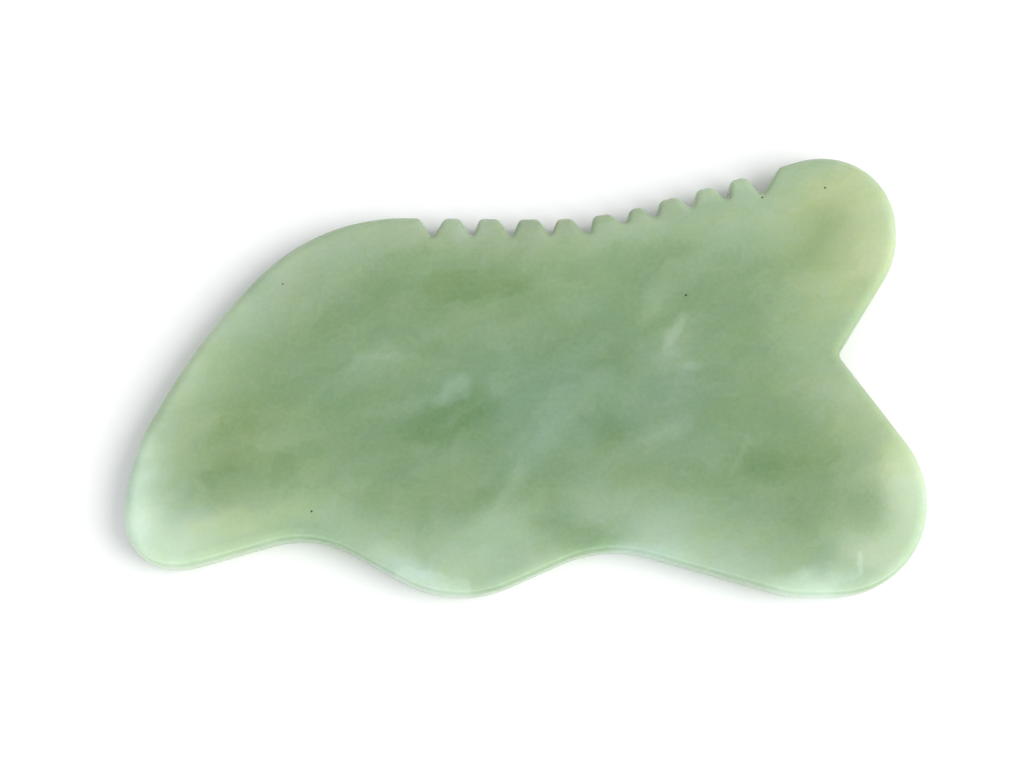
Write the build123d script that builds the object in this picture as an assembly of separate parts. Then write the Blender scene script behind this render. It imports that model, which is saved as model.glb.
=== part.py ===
from build123d import *
from math import radians, tan
import os

# Gua sha scraper board: a fish-shaped slab of green stone with a comb edge of nine teeth.
# +X runs from the nose to the forked tail, +Y from the belly to the comb and +Z through
# the thickness. The board lies on its back face, in the plane Z = 0, and the middle of
# its bounding box is on the Z axis.

# ---------- driving dimensions, mm and degrees ----------
BOARD_THICKNESS = 6.0
RIM_RADIUS = 1.5            # rounding of the outer edge, on both faces
NOTCH_CORNER_RADIUS = 0.2   # inside corners at the bottom of a notch
NOTCH_CUTTER_HEIGHT = 7.0   # a cutter runs well out past the edge of the board
TOUCHING = 0.001            # an edge nearer to a cutter than this was left by it

# Outline as a rounded polygon, anticlockwise: (x, y, corner radius)
OUTLINE = [
    (-29.6, 22.5, 28.0),    # shoulder of the back
    (-45.4, 4.9, 85.0),     # long easy run down to the nose
    (-55.0, -12.4, 28.0),   # brow of the nose
    (-55.0, -26.8, 6.8),    # nose
    (-46.2, -26.8, 12.0),   # chin
    (-29.1, -21.9, 14.5),   # first scraping bay
    (-9.6, -32.5, 16.4),    # belly lobe
    (10.7, -23.4, 18.0),    # second scraping bay
    (36.2, -30.7, 16.0),    # start of the lower tail lobe
    (54.8, -30.2, 12.7),    # lower tail lobe
    (54.8, -13.1, 13.0),    # shoulder of the lower tail lobe
    (43.15, 2.7, 1.0),      # fork of the tail
    (51.7, 16.4, 12.0),     # shoulder of the upper tail lobe
    (51.7, 31.0, 10.0),     # upper tail lobe
    (39.7, 31.0, 12.0),     # end of the comb line
    (9.5, 22.1, 50.0),      # bend of the comb line
]

# Comb notches, cut by hand and so all a little different: x and y of the middle of the
# bottom, width of the bottom, how far the wall on the nose side and the wall on the tail
# side lean away from +Y, then how far the tooth tips and the notch edges are rounded. The
# teeth towards the tail are worn rounder.
NOTCHES = [
    (-13.2, 19.5, 0.4, 29.0, 30.0, 0.65),
    (-7.6, 19.6, 0.4, 31.0, 18.0, 0.65),
    (-2.1, 19.6, 0.4, 34.0, 20.0, 0.65),
    (3.3, 19.8, 0.4, 33.0, 19.0, 0.65),
    (8.4, 20.1, 0.9, 38.0, 12.0, 0.75),
    (13.5, 21.6, 0.9, 46.0, 15.0, 0.9),
    (17.8, 22.5, 0.7, 45.0, 13.0, 0.9),
    (23.0, 23.8, 0.5, 49.0, 14.0, 0.9),
    (28.0, 25.0, 0.5, 47.0, 7.0, 0.9),
    (32.9, 25.7, 0.5, 37.0, 31.0, 0.9),
]


def board_outline():
    corners = [(x, y) for x, y, radius in OUTLINE]
    radii = [radius for x, y, radius in OUTLINE]
    return make_face(FilletPolyline(*corners, radius=radii, close=True))


def rounded_blank():
    """The slab before the comb is cut, with its outer edge rounded over on both faces."""
    slab = extrude(board_outline(), BOARD_THICKNESS)
    faces = slab.faces().sort_by(Axis.Z)
    return fillet(faces[0].edges() + faces[-1].edges(), RIM_RADIUS)


def notch_cutter(x, y, width, nose_lean, tail_lean):
    """A straight-walled V with a small flat bottom, as deep as the board is thick."""
    nose_reach = width / 2 + NOTCH_CUTTER_HEIGHT * tan(radians(nose_lean))
    tail_reach = width / 2 + NOTCH_CUTTER_HEIGHT * tan(radians(tail_lean))
    profile = make_face(
        Polyline(
            (x - width / 2, y),
            (x + width / 2, y),
            (x + tail_reach, y + NOTCH_CUTTER_HEIGHT),
            (x - nose_reach, y + NOTCH_CUTTER_HEIGHT),
            close=True,
        )
    )
    bottom_corners = profile.vertices().sort_by(Axis.Y)[:2]
    return extrude(fillet(bottom_corners, NOTCH_CORNER_RADIUS), BOARD_THICKNESS)


def cut_notch(board, notch):
    """Cut one notch and round its whole rim, over both faces and both tooth tips."""
    *cutter_sizes, rim_radius = notch
    cutter = notch_cutter(*cutter_sizes)
    board = board - cutter
    left_by_cutter = [e for e in board.edges() if cutter.distance_to(e.center()) < TOUCHING]
    # the seams beside the flat bottom run the full thickness, and are not part of the rim
    rim = [e for e in left_by_cutter if e.length < BOARD_THICKNESS - TOUCHING]
    return fillet(rim, rim_radius)


def centred(solid):
    middle = solid.bounding_box().center()
    return Pos(-middle.X, -middle.Y, 0) * solid


scraper_board = rounded_blank()
for notch in NOTCHES:
    scraper_board = cut_notch(scraper_board, notch)

os.makedirs("parts", exist_ok=True)
export_step(centred(scraper_board), "parts/scraper_board.step")
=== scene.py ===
from math import cos, pi, radians, sin

import bpy
import numpy as np
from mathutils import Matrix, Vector
from mathutils.kdtree import KDTree


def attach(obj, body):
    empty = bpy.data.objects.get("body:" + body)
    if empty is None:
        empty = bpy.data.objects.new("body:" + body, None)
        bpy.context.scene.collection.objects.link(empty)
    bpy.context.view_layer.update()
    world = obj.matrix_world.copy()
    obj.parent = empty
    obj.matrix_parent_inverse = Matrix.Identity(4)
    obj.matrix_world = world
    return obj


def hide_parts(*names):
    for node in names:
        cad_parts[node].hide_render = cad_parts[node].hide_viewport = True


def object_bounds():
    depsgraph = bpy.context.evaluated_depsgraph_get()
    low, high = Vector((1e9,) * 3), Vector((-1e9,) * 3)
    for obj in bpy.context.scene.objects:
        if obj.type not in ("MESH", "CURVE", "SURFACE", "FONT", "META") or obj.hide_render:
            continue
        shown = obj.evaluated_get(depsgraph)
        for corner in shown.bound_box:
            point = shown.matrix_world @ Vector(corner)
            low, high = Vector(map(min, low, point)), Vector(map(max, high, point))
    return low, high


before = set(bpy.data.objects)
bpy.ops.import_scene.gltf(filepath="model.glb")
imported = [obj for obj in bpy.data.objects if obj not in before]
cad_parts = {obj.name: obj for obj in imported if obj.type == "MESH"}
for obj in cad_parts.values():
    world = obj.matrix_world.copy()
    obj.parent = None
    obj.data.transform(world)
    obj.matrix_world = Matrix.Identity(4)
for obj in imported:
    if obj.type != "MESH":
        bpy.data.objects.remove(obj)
cad_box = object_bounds()
LOW, HIGH = cad_box
MIDDLE = (LOW + HIGH) / 2
MM = 0.001

# ---------- driving values: the board ----------
MESH_STEP = 0.38 * MM           # spacing of the even mesh that the hand polish works on
ROLL_OFF = 0.10 * MM            # how far a face falls away towards the rim
ROLL_OFF_REACH = 6.0 * MM
LEVEL_NORMAL = 0.25             # a normal that rises by less than this belongs to the side

# ---------- driving values: the studio ----------
WINDOW_STRENGTH = 2.3
WINDOW_SPREAD = radians(48)
LOW_WINDOW_SIZE = (1.9, 0.09)
LOW_WINDOW_BRIGHTNESS = 5.0     # of its face, beside a sky of about 0.7
SKY_COLOUR = (0.99, 1.0, 1.02, 1)
SKY_STRENGTH = 0.715
PAPER_WHITES = (0.90, 0.93)     # the paper varies a little between these two
PAPER_GAP = 0.02 * MM           # the board stands this far above the paper
CAMERA_LENS = 85
CAMERA_SENSOR = 36
CAMERA_ELEVATION = radians(79)
CAMERA_DISTANCE = 0.339
CAMERA_AIM = (-1.85 * MM, -0.72 * MM)   # from the middle of the board

# ---------- driving values: the stone ----------
# Linear colours of the stone: in its deep body, and where it is cloudy or painted paler by light
# coming through its edge
DEEP_GREEN = (0.206, 0.319, 0.164)
PALE_GREEN = (0.570, 0.700, 0.524)
SPECK_BLACK = (0.02, 0.025, 0.02)

# Painted light: the stone is painted paler towards its edge, standing in for the light that comes
# through it there, and the very rim is painted deeper, a painted shade on the side that faces down
# to the paper
PAINTED_EDGE_GLOW = 0.40
PAINTED_GLOW_REACH = 13 * MM
PAINTED_RIM_SHADE = 0.14
RIM_SHADE_START = 0.6 * MM
RIM_SHADE_FULL = 0.2 * MM

# The markings slant through the thickness and wander, with a broad bend and a ragged edge
SLANT = (0.35, -0.20, 0)
BROAD_WANDER = 7.0 * MM
RAGGED_WANDER = 2.4 * MM

# The clouds between the markings are drawn out along wisps, which run up towards the tail
WISP_ANGLE = radians(27)
WISP_STRETCH = (2.0, 1.0, 1.2)
TINT_CHANGE = (0.11, 0.0, 0.25)     # of the stone's red, green and blue

# Hand polish: roughness between these two, with very shallow waves and rubbing marks
ROUGHNESS = (0.17, 0.25)
RUBBING_ANGLE = radians(64)
RUBBING_STRETCH = (12.0, 1.0, 1.0)
RUBBING_SHARE = 0.1             # height of the rubbing marks, as a share of the waves'

# Markings in the stone; the pale ones along the lower edge and on the tail lobes are partly
# painted light as well. Each is an ellipse: its place as shares of the board's length from
# the nose and of its width from the belly, half length and half width in mm, angle in
# degrees, softness of its border, then how much it is paler (+) or deeper (-), yellower (+)
# or bluer (-), and redder (+) or greener (-)
MARKINGS_AND_PAINTED_GLOW = [
    # the nose
    (0.035, 0.110, 14.7, 8.7, 10, 0.95, 0.53, 0.00, 0.00),
    (0.155, 0.150, 12.0, 5.0, 8, 0.90, 0.12, 0.14, 0.03),
    (0.014, 0.232, 13.5, 6.8, 76, 0.90, 0.44, -0.07, -0.04),
    (0.055, 0.480, 17.0, 5.0, 58, 0.90, 0.11, 0.00, 0.00),
    (0.032, 0.335, 2.8, 2.0, 60, 0.70, 0.14, 0.00, 0.00),
    (0.092, 0.620, 12.5, 5.5, 54, 0.95, 0.24, 0.02, 0.00),
    (0.078, 0.235, 4.8, 4.5, 0, 1.00, 0.10, 0.00, 0.00),
    (0.137, 0.379, 16.1, 14.0, 10, 0.90, 0.00, 0.08, 0.05),
    (0.160, 0.262, 6.0, 5.0, 8, 0.25, -0.06, 0.01, 0.01),
    (0.138, 0.350, 4.2, 6.0, 8, 0.55, -0.03, 0.01, 0.01),
    (0.175, 0.334, 8.4, 3.4, 15, 0.90, 0.07, 0.00, 0.00),
    (0.215, 0.140, 9.0, 3.8, -4, 0.90, -0.15, -0.07, -0.05),
    (0.234, 0.235, 5.0, 3.5, 10, 1.00, -0.07, 0.03, 0.00),
    (0.304, 0.185, 5.0, 3.5, 0, 1.00, -0.08, 0.03, 0.00),
    # the back, up to the comb
    (0.248, 0.745, 8.0, 3.6, 32, 1.00, -0.08, 0.00, 0.00),
    (0.220, 0.690, 22.0, 11.0, 32, 1.00, -0.03, -0.03, 0.06),
    # the belly lobe and the second bay; the pale marks at the lower edge are partly pale cloud and
    # partly painted light coming through the edge that faces the light
    (0.365, 0.035, 10.5, 3.9, -18, 0.80, 0.18, -0.10, -0.02),
    (0.342, 0.085, 6.8, 3.7, -18, 1.00, 0.15, -0.05, 0.00),
    (0.385, 0.026, 6.2, 2.6, -15, 0.20, 0.12, 0.00, 0.00),
    (0.445, 0.110, 13.3, 6.4, 30, 0.95, 0.21, 0.00, -0.02),
    (0.430, 0.166, 8.5, 4.2, 20, 0.90, 0.14, 0.00, 0.00),
    (0.659, 0.077, 11.5, 4.6, -8, 0.90, 0.18, -0.14, -0.04),
    (0.620, 0.165, 14.0, 6.0, 5, 1.00, 0.00, -0.08, 0.00),
    (0.574, 0.132, 10.0, 6.0, 5, 0.90, -0.27, 0.06, -0.02),
    (0.703, 0.188, 8.4, 3.6, 20, 0.90, 0.06, 0.00, 0.00),
    # the tail; the pale marks on the lower and outer edges of its lobes are partly pale cloud and
    # partly painted light coming through the edges that face the light
    (0.858, 0.014, 8.7, 3.8, -3, 0.80, 0.43, -0.04, -0.02),
    (0.773, 0.045, 7.0, 3.5, -10, 1.00, 0.08, -0.08, 0.00),
    (0.905, 0.245, 6.0, 4.0, 60, 1.00, 0.09, 0.00, 0.00),
    (0.904, 0.064, 3.9, 0.7, 80, 0.60, 0.20, -0.03, -0.02),
    (0.922, 0.095, 10.5, 6.5, -40, 0.95, 0.34, 0.02, 0.02),
    (0.996, 0.210, 12.6, 8.4, 80, 0.95, 0.44, 0.00, 0.00),
    (0.962, 0.280, 10.0, 5.4, 80, 0.95, 0.19, 0.09, 0.02),
    (0.948, 0.155, 5.5, 4.0, 60, 1.00, 0.11, 0.00, 0.00),
    (0.972, 0.820, 13.3, 8.4, 88, 0.95, 0.30, -0.04, 0.00),
    (0.900, 0.810, 18.5, 15.0, 70, 1.00, 0.08, 0.22, 0.10),
    (0.911, 0.795, 6.0, 4.4, 70, 1.00, 0.13, -0.04, 0.00),
    (0.887, 0.920, 9.0, 5.5, 10, 0.95, 0.14, 0.05, 0.05),
    (0.915, 0.390, 21.0, 15.4, 80, 1.00, 0.00, 0.09, 0.06),
    (0.885, 0.530, 8.5, 5.5, 75, 0.90, -0.14, 0.00, 0.00),
    (0.804, 0.304, 7.0, 3.9, -20, 0.80, -0.09, 0.02, 0.01),
    (0.773, 0.322, 3.9, 0.7, 62, 0.80, 0.08, 0.00, 0.00),
    (0.840, 0.715, 12.0, 8.5, 60, 1.00, 0.11, 0.00, 0.00),
    (0.773, 0.700, 6.0, 4.0, 0, 1.00, 0.09, 0.00, 0.02),
    # under the comb, and the greyer strip of the teeth
    (0.530, 0.870, 42.0, 10.0, 7, 1.00, -0.16, 0.00, 0.10),
    (0.455, 0.725, 26.0, 7.5, 3, 0.80, -0.17, 0.04, 0.00),
    (0.362, 0.766, 6.0, 3.5, 10, 1.00, -0.09, 0.02, 0.00),
    (0.425, 0.855, 9.5, 3.6, 0, 1.00, 0.15, -0.07, 0.00),
    (0.440, 0.700, 10.0, 3.2, 6, 0.35, -0.07, 0.04, 0.02),
    (0.540, 0.865, 32.0, 5.5, 7, 0.90, -0.05, -0.08, 0.03),
    (0.735, 0.950, 11.0, 3.6, 17, 0.95, 0.24, 0.06, 0.03),
    (0.750, 0.840, 8.0, 5.0, 10, 1.00, 0.00, 0.06, 0.02),
    (0.662, 0.765, 14.0, 4.8, 8, 1.00, -0.15, 0.00, 0.00),
    # the middle, with its bluer band, deepest patches and wisps
    (0.518, 0.430, 30.0, 15.0, 8, 1.00, 0.00, -0.18, -0.03),
    (0.690, 0.420, 14.0, 9.5, 80, 1.00, 0.00, -0.15, 0.02),
    (0.399, 0.392, 9.0, 4.5, 15, 0.60, -0.11, 0.01, 0.00),
    (0.528, 0.551, 5.0, 4.0, 0, 1.00, -0.08, 0.02, 0.00),
    (0.340, 0.329, 7.8, 2.5, 22, 0.90, -0.08, 0.01, 0.00),
    (0.318, 0.510, 8.5, 3.7, 30, 0.95, 0.13, -0.08, 0.01),
    (0.405, 0.458, 3.8, 2.4, 20, 0.70, 0.15, -0.03, 0.00),
    (0.572, 0.640, 5.2, 2.4, 15, 0.90, 0.09, -0.03, 0.00),
    (0.657, 0.664, 5.5, 3.6, 30, 1.00, 0.10, 0.00, 0.00),
    (0.481, 0.260, 6.4, 3.0, 58, 0.95, 0.14, 0.00, 0.00),
    (0.520, 0.345, 7.5, 4.4, 35, 1.00, 0.10, -0.03, 0.00),
    (0.615, 0.375, 5.0, 4.6, 0, 0.95, -0.16, 0.01, 0.00),
    (0.446, 0.360, 5.0, 4.0, 30, 1.00, -0.10, 0.03, 0.00),
    (0.606, 0.526, 6.0, 4.4, 0, 1.00, -0.08, 0.05, 0.01),
    (0.682, 0.354, 5.0, 2.8, 35, 0.90, 0.12, 0.00, 0.00),
    # the vein
    (0.694, 0.586, 4.6, 1.5, 80, 0.95, 0.16, 0.00, 0.00),
    (0.718, 0.513, 2.1, 1.4, 20, 0.90, 0.12, 0.00, 0.00),
    (0.700, 0.560, 7.0, 4.6, 75, 0.95, 0.11, 0.00, 0.03),
]
# Black specks: along, across, size (mm)
SPECKS = [
    (0.702, 0.675, 0.40),
    (0.881, 0.925, 0.36),
    (0.234, 0.185, 0.36),
    (0.193, 0.701, 0.30),
    (0.801, 0.903, 0.36),
]


def on_board(along, across):
    """The point of the top face at these shares of the board's length and width."""
    return Vector((LOW.x + along * (HIGH.x - LOW.x), LOW.y + across * (HIGH.y - LOW.y), HIGH.z))


# ---------- shader nodes ----------
class Shader:
    """Short names for the few kinds of node that the materials are made of."""

    def __init__(self, name):
        self.material = bpy.data.materials.new(name)
        self.material.use_nodes = True
        self.tree = self.material.node_tree
        self.surface = self.tree.nodes["Principled BSDF"]

    def node(self, kind, inputs=(), **settings):
        node = self.tree.nodes.new("ShaderNode" + kind)
        for name, value in settings.items():
            setattr(node, name, value)
        for name, value in dict(inputs).items():
            self.set(node.inputs[name], value)
        return node

    def set(self, socket, value):
        if isinstance(value, bpy.types.NodeSocket):
            self.tree.links.new(value, socket)
        else:
            socket.default_value = value

    def math(self, operation, a, b=0.0, third=0.0):
        return self.node("Math", {0: a, 1: b, 2: third}, operation=operation).outputs[0]

    def vector(self, operation, a, b=(0, 0, 0), third=(0, 0, 0)):
        return self.node("VectorMath", {0: a, 1: b, 2: third}, operation=operation).outputs[0]

    def scaled(self, vector, scale):
        return self.node("VectorMath", {0: vector, "Scale": scale}, operation="SCALE").outputs[0]

    def length(self, vector):
        return self.node("VectorMath", {0: vector}, operation="LENGTH").outputs["Value"]

    def placed(self, vector, location=(0, 0, 0), angle=0.0, scale=(1, 1, 1)):
        """The vector, as seen from a frame with that place, angle about Z and scale."""
        inputs = {"Vector": vector, "Location": location, "Rotation": (0, 0, angle), "Scale": scale}
        return self.node("Mapping", inputs, vector_type="TEXTURE").outputs[0]

    def noise(self, vector, size, detail=2, roughness=0.5, output="Fac"):
        inputs = {"Vector": vector, "Scale": 1 / size, "Detail": detail, "Roughness": roughness}
        return self.node("TexNoise", inputs, noise_dimensions="3D").outputs[output]

    def change(self, value, amount):
        """A value that lies about 0.5, as a change about 0."""
        return self.math("MULTIPLY", self.math("SUBTRACT", value, 0.5), amount)

    def vector_change(self, vector, size, detail, roughness):
        """Three noises, one for each axis or colour, as changes about 0."""
        noises = self.noise(vector, size, detail, roughness, output="Color")
        return self.vector("SUBTRACT", noises, (0.5, 0.5, 0.5))

    def ramp(self, value, start, end, low=0.0, high=1.0):
        inputs = {"Value": value, "From Min": start, "From Max": end, "To Min": low, "To Max": high}
        return self.node("MapRange", inputs, interpolation_type="SMOOTHSTEP").outputs["Result"]

    def mix(self, factor, a, b, clamp_factor=True):
        """A mix of two colours, each a socket or three numbers."""
        node = self.node("Mix", data_type="RGBA", clamp_factor=clamp_factor)
        first, second = [socket for socket in node.inputs if socket.type == "RGBA"]
        self.set(node.inputs["Factor"], factor)
        self.set(first, a if isinstance(a, bpy.types.NodeSocket) else (*a, 1))
        self.set(second, b if isinstance(b, bpy.types.NodeSocket) else (*b, 1))
        return next(socket for socket in node.outputs if socket.type == "RGBA")


def inside(s, place, centre, half_length, half_width, angle, softness):
    """1 in the middle of an upright ellipse, sized in mm, falling to 0 at its border."""
    scale = (half_length * MM, half_width * MM, 1.0)
    local = s.placed(place, centre, radians(angle), scale)
    return s.ramp(s.length(local), 1.0, 1.0 - softness)


# ---------- the stone ----------
def wandering(s, place):
    """The place where the markings are looked up: slanted, bent and ragged."""
    height = s.node("SeparateXYZ", {"Vector": place}).outputs["Z"]
    depth = s.math("SUBTRACT", HIGH.z, height)
    slant = s.vector("MULTIPLY", s.node("CombineXYZ", {0: depth, 1: depth}).outputs[0], SLANT)
    broad = s.vector_change(place, size=11 * MM, detail=2, roughness=0.5)
    ragged = s.vector_change(place, size=2.2 * MM, detail=3, roughness=0.6)
    wander = s.vector("ADD", s.scaled(broad, BROAD_WANDER), s.scaled(ragged, RAGGED_WANDER))
    return s.vector("ADD", s.vector("ADD", place, slant), wander)


def clouds(s, place, stretched):
    """How pale the stone is between its markings: soft clouds, bordered clouds and grain."""
    broad = s.noise(stretched, size=9 * MM, detail=3, roughness=0.5)
    small = s.noise(stretched, size=3 * MM, detail=4, roughness=0.6)
    bordered = s.ramp(s.noise(stretched, size=5.5 * MM, detail=5, roughness=0.6), 0.47, 0.53)
    grain = s.noise(place, size=0.6 * MM, detail=2, roughness=0.6)
    pale = s.change(broad, amount=0.13)
    pale = s.math("ADD", pale, s.change(small, amount=0.15))
    pale = s.math("ADD", pale, s.change(bordered, amount=0.035))
    return s.math("ADD", pale, s.change(grain, amount=0.15))


def cloudy_tint(s, place, stretched):
    """A multiplier of the colour that varies about 1, most of all in blue."""
    broad = s.vector_change(stretched, size=6 * MM, detail=3, roughness=0.55)
    fine = s.vector_change(place, size=2.2 * MM, detail=4, roughness=0.65)
    return s.vector("MULTIPLY_ADD", s.vector("ADD", broad, fine), TINT_CHANGE, (1, 1, 1))


def stone_colour(s, place):
    """The clouds, the painted light at the edge and the painted shade on the rim, the markings and
    the specks, as one colour.
    """
    marked = wandering(s, place)
    stretched = s.placed(marked, angle=WISP_ANGLE, scale=WISP_STRETCH)
    pale = clouds(s, place, stretched)
    tint = cloudy_tint(s, place, stretched)

    edge = s.node("Attribute", attribute_name="edge_distance").outputs["Fac"]
    # painted light: paler towards the edge, for the light coming through the stone there
    pale = s.math("ADD", pale, s.ramp(edge, PAINTED_GLOW_REACH, 0.0, high=PAINTED_EDGE_GLOW))
    # painted shade: the very rim, whose side faces down to the paper, is darker
    pale = s.math("ADD", pale, s.ramp(edge, RIM_SHADE_START, RIM_SHADE_FULL, high=-PAINTED_RIM_SHADE))
    for along, across, half_length, half_width, angle, softness, paler, yellower, redder in MARKINGS_AND_PAINTED_GLOW:
        here = inside(s, marked, on_board(along, across), half_length, half_width, angle, softness)
        if paler:
            pale = s.math("MULTIPLY_ADD", here, paler, pale)
        if yellower or redder:
            tint = s.vector("MULTIPLY_ADD", here, (redder, 0, -yellower), tint)

    colour = s.mix(pale, DEEP_GREEN, PALE_GREEN, clamp_factor=False)
    colour = s.vector("MULTIPLY", colour, tint)
    for along, across, size in SPECKS:
        radius = size / 2
        speck = inside(s, place, on_board(along, across), radius, radius, angle=0, softness=0.5)
        colour = s.mix(speck, colour, SPECK_BLACK)
    return colour


def hand_polish(s, place):
    """Gives the surface its uneven gloss, and its shallow waves and rubbing marks."""
    smears = s.noise(place, size=6 * MM, detail=3, roughness=0.55)
    s.set(s.surface.inputs["Roughness"], s.ramp(smears, 0.3, 0.7, *ROUGHNESS))
    waves = s.noise(place, size=3 * MM)
    rubbed = s.placed(place, angle=RUBBING_ANGLE, scale=RUBBING_STRETCH)
    marks = s.noise(rubbed, size=0.5 * MM)
    height = s.math("MULTIPLY_ADD", marks, RUBBING_SHARE, waves)
    bump = s.node("Bump", {"Strength": 0.12, "Distance": 0.05 * MM, "Height": height})
    s.set(s.surface.inputs["Normal"], bump.outputs["Normal"])


def green_stone():
    """Translucent green stone: cloudy and wispy through its thickness, painted paler towards its
    edge for the light that comes through it there.
    """
    s = Shader("green_stone_polished")
    place = s.node("TexCoord").outputs["Object"]
    s.set(s.surface.inputs["Base Color"], stone_colour(s, place))
    hand_polish(s, place)
    s.surface.inputs["IOR"].default_value = 1.57
    s.surface.subsurface_method = "RANDOM_WALK"
    s.surface.inputs["Subsurface Weight"].default_value = 0.8
    s.surface.inputs["Subsurface Radius"].default_value = (0.9, 1.1, 0.8)
    s.surface.inputs["Subsurface Scale"].default_value = 1.0 * MM
    return s.material


# ---------- the board ----------
def rub(piece, times):
    smooth = piece.modifiers.new("rub", "SMOOTH")
    smooth.factor = 0.5
    smooth.iterations = times


def even_copy(node):
    """The CAD board's shape on a fine, even mesh, with its faceting rubbed smooth."""
    piece = bpy.data.objects.new("polished_board", node.data.copy())
    bpy.context.scene.collection.objects.link(piece)
    remesh = piece.modifiers.new("even", "REMESH")
    remesh.mode = "VOXEL"
    remesh.voxel_size = MESH_STEP
    rub(piece, 3)
    hug = piece.modifiers.new("hug", "SHRINKWRAP")
    hug.target = node
    rub(piece, 1)
    shaped = piece.evaluated_get(bpy.context.evaluated_depsgraph_get())
    piece.data = bpy.data.meshes.new_from_object(shaped)
    piece.modifiers.clear()
    piece.data.polygons.foreach_set("use_smooth", [True] * len(piece.data.polygons))
    return piece


def coordinates(mesh):
    points = np.zeros(len(mesh.vertices) * 3)
    mesh.vertices.foreach_get("co", points)
    return points.reshape(-1, 3)


def normals(mesh):
    directions = np.zeros(len(mesh.vertices) * 3)
    mesh.vertex_normals.foreach_get("vector", directions)
    return directions.reshape(-1, 3)


def distance_to_edge(mesh):
    """How far each point of the mesh is from the board's outline, seen from above."""
    points = coordinates(mesh)
    outline = points[np.abs(normals(mesh)[:, 2]) < LEVEL_NORMAL]
    tree = KDTree(len(outline))
    for i, (x, y, z) in enumerate(outline):
        tree.insert((x, y, 0), i)
    tree.balance()
    return np.array([tree.find((x, y, 0))[2] for x, y, z in points])


def hand_rounded(piece):
    """Rolls the faces off towards the rim, and keeps how far each point is from the edge."""
    mesh = piece.data
    points = coordinates(mesh)
    edge = distance_to_edge(mesh)
    share = np.clip(1 - edge / ROLL_OFF_REACH, 0, 1) ** 2
    side = np.clip((points[:, 2] - MIDDLE.z) / (MIDDLE.z - LOW.z), -1, 1)
    points[:, 2] -= side * share * ROLL_OFF
    mesh.vertices.foreach_set("co", points.ravel())
    kept = mesh.attributes.new("edge_distance", "FLOAT", "POINT")
    kept.data.foreach_set("value", edge)
    mesh.update()


def board():
    piece = even_copy(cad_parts["scraper_board"])
    hand_rounded(piece)
    piece.data.materials.clear()
    piece.data.materials.append(green_stone())
    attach(piece, "root")
    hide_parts("scraper_board")


# ---------- studio ----------
def paper():
    s = Shader("white_paper")
    fibres = s.noise(s.node("TexCoord").outputs["Object"], size=2 * MM, detail=3)
    greyer, whiter = [(white, white, white) for white in PAPER_WHITES]
    s.set(s.surface.inputs["Base Color"], s.mix(fibres, greyer, whiter))
    s.surface.inputs["Roughness"].default_value = 0.9
    s.surface.inputs["Specular IOR Level"].default_value = 0.2
    return s.material


def floor():
    bpy.ops.mesh.primitive_plane_add(size=8, location=(0, 0, LOW.z - PAPER_GAP))
    sheet = bpy.context.object
    sheet.name = "paper_floor"
    sheet.data.materials.append(paper())


def from_middle(azimuth, elevation, distance):
    """A point that far from the board. Azimuth 0 is on the belly side and 90 on the tail side."""
    a, e = radians(azimuth), radians(elevation)
    return MIDDLE + distance * Vector((sin(a) * cos(e), -cos(a) * cos(e), sin(e)))


def add_light(kind, name, azimuth, elevation, distance):
    lamp = bpy.data.objects.new(name, bpy.data.lights.new(name, kind))
    bpy.context.scene.collection.objects.link(lamp)
    lamp.location = from_middle(azimuth, elevation, distance)
    lamp.rotation_euler = (MIDDLE - lamp.location).to_track_quat("-Z", "Y").to_euler()
    lamp.visible_camera = False
    return lamp


def lights():
    # daylight from the tail side, too soft and wide to show as a glint
    window = add_light("SUN", "window", azimuth=82, elevation=43, distance=2.0)
    window.data.angle = WINDOW_SPREAD
    window.data.energy = WINDOW_STRENGTH
    window.visible_glossy = False
    # a low, wide window in front, which draws the thin line along the near rim
    low = add_light("AREA", "low_window", azimuth=6, elevation=13, distance=0.8)
    low.data.shape = "RECTANGLE"
    low.data.size, low.data.size_y = LOW_WINDOW_SIZE
    low.data.energy = LOW_WINDOW_BRIGHTNESS * pi * low.data.size * low.data.size_y
    world = bpy.data.worlds.new("studio")
    bpy.context.scene.world = world
    world.use_nodes = True
    sky = world.node_tree.nodes["Background"]
    sky.inputs["Color"].default_value = SKY_COLOUR
    sky.inputs["Strength"].default_value = SKY_STRENGTH


def camera():
    data = bpy.data.cameras.new("camera")
    data.lens = CAMERA_LENS
    data.sensor_width = CAMERA_SENSOR
    data.clip_start = 0.01
    data.clip_end = 20
    view = bpy.data.objects.new("camera", data)
    bpy.context.scene.collection.objects.link(view)
    aim = Vector((MIDDLE.x + CAMERA_AIM[0], MIDDLE.y + CAMERA_AIM[1], LOW.z))
    towards_camera = Vector((0, -cos(CAMERA_ELEVATION), sin(CAMERA_ELEVATION)))
    view.location = aim + CAMERA_DISTANCE * towards_camera
    view.rotation_euler = (pi / 2 - CAMERA_ELEVATION, 0, 0)
    bpy.context.scene.camera = view


board()
floor()
lights()
camera()
bpy.context.scene.view_settings.view_transform = "Standard"
